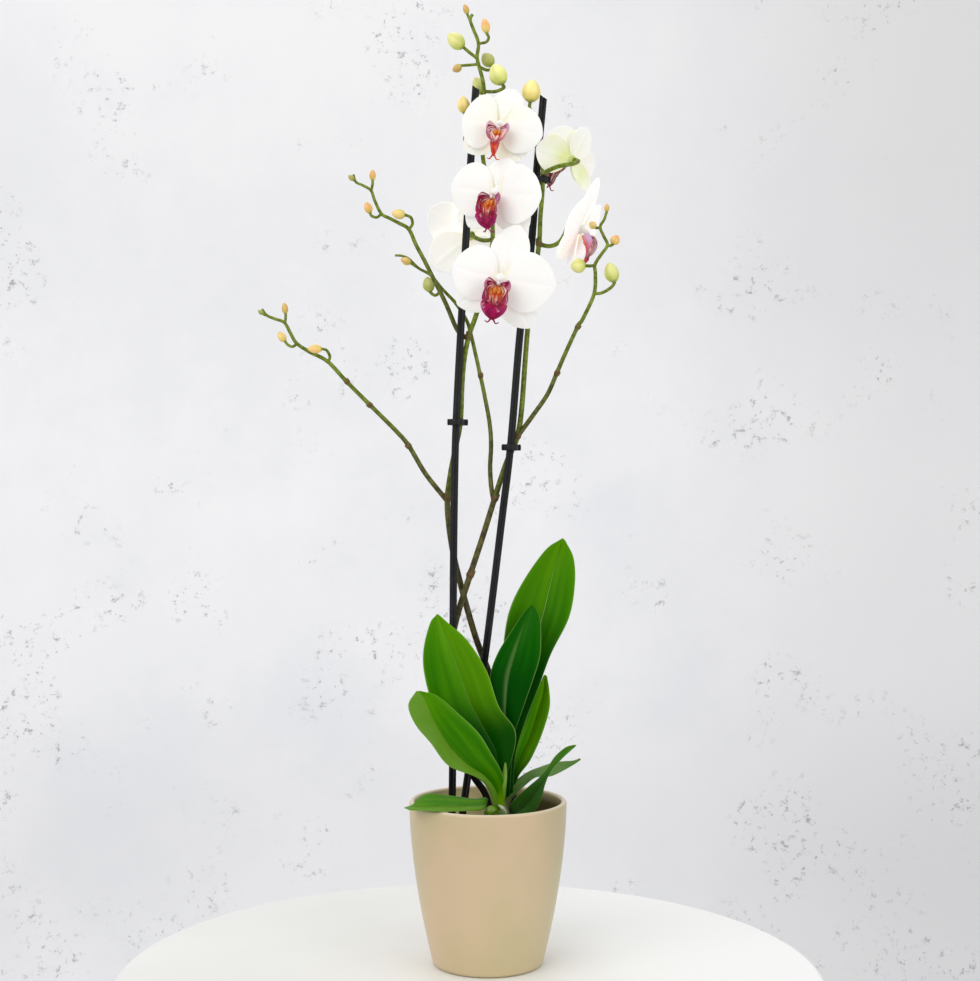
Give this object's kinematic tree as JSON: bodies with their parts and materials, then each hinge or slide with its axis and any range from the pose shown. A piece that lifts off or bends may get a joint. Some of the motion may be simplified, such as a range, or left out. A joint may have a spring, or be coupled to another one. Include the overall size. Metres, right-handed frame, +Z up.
{
  "type": "potted moth orchid",
  "caption": "Decorative flowering plant in a glazed stoneware pot: branching flower stems tied to grooved stakes, broad glossy leaves, white blooms with red lips, and buds.",
  "frame": {"origin": "the centre of the pot's flat underside, which rests on the table", "axes": "+Z up along the stems, -Y towards the viewer, +X to the viewer's right"},
  "size_m": [0.2985, 0.131, 0.7977],
  "materials": {
    "glaze": "satin beige glaze",
    "grow_pot": "thin dark plastic",
    "bark": "rough bark chips",
    "root_green": "smooth yellow-green",
    "leaf": "glossy green",
    "stem": "olive green with brown joints",
    "petal": "soft white",
    "lip": "crimson with an orange swelling",
    "black_plastic": "matte black"
  },
  "bodies": {
    "root": {"pot": "glaze", "grow_pot": "grow_pot", "bark": "bark", "crown": "root_green", "stake_left": "black_plastic", "stake_right": "black_plastic", "leaf_centre_right": "leaf", "leaf_tall_right": "leaf", "leaf_tall_left": "leaf", "leaf_low_left": "leaf", "leaf_low_right": "leaf", "leaf_back_right": "leaf", "leaf_front_right": "leaf", "leaf_over_rim": "leaf", "spike_left": "stem", "spike_right": "stem", "clip_left_low": "black_plastic", "clip_left_high": "black_plastic", "clip_right_low": "black_plastic", "clip_right_high": "black_plastic", "bloom_top_petals": "petal", "bloom_top_lip": "lip", "bloom_middle_petals": "petal", "bloom_middle_lip": "lip", "bloom_low_petals": "petal", "bloom_low_lip": "lip", "bloom_right_high_petals": "petal", "bloom_right_high_lip": "lip", "bloom_right_petals": "petal", "bloom_right_lip": "lip", "bloom_back_left_petals": "petal", "bloom_back_left_lip": "lip"}
  },
  "joints": []
}
